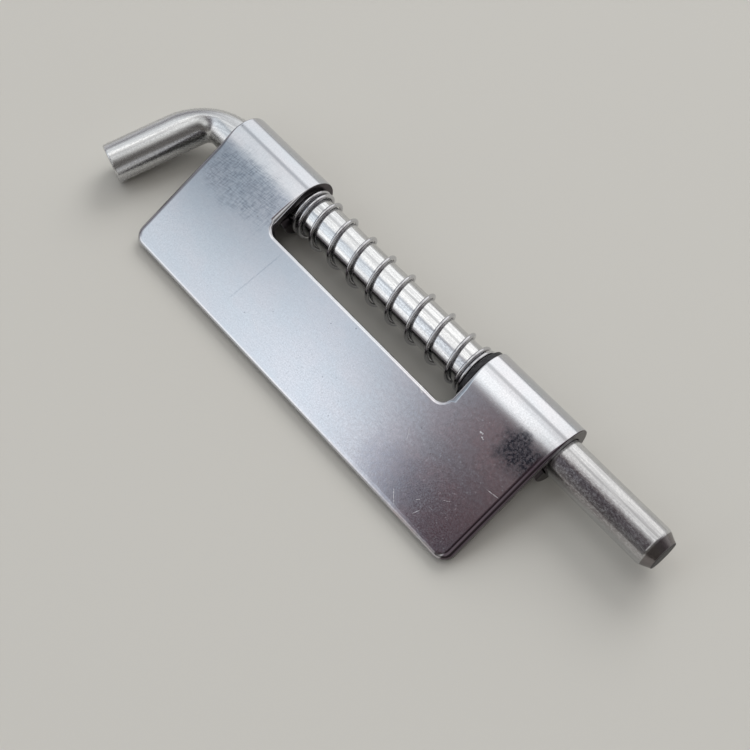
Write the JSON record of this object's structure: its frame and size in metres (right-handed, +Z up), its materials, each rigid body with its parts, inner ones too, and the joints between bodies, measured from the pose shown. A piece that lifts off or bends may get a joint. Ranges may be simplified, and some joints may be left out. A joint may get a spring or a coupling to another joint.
{
  "type": "spring loaded door hinge",
  "caption": "Weld-on leaf hinge whose bent pin slides against a coil spring, so the tip draws back for the door to lift off.",
  "frame": {"origin": "on the pin's axis, at the outer end face of the tip-side knuckle, where the free end of the pin leaves the leaf", "axes": "+X along the pin towards its tapered tip, +Z up from the surface the hinge lies on, +Y away from the leaf, which slopes down to its free edge on the -Y side"},
  "size_m": [0.0977, 0.0253, 0.0092],
  "materials": {
    "leaf": "satin zinc plate",
    "pin": "satin zinc plate",
    "ring": "black oxide",
    "spring": "drawn spring wire"
  },
  "bodies": {
    "leaf_body": {"leaf": "leaf", "spring": "spring"},
    "ring_body": {"ring": "ring"},
    "pin_body": {"pin": "pin"}
  },
  "joints": [
    {"name": "pull", "type": "slide", "parent": "leaf_body", "child": "ring_body", "axis": [-1, 0, 0], "range_m": [0, 0.027], "stiffness_N_per_m": 450, "springref_m": -0.01, "deforming": ["spring"]},
    {"name": "turn", "type": "hinge", "parent": "ring_body", "child": "pin_body", "pos_m": [0, 0, 0], "axis": [1, 0, 0], "continuous": true}
  ]
}
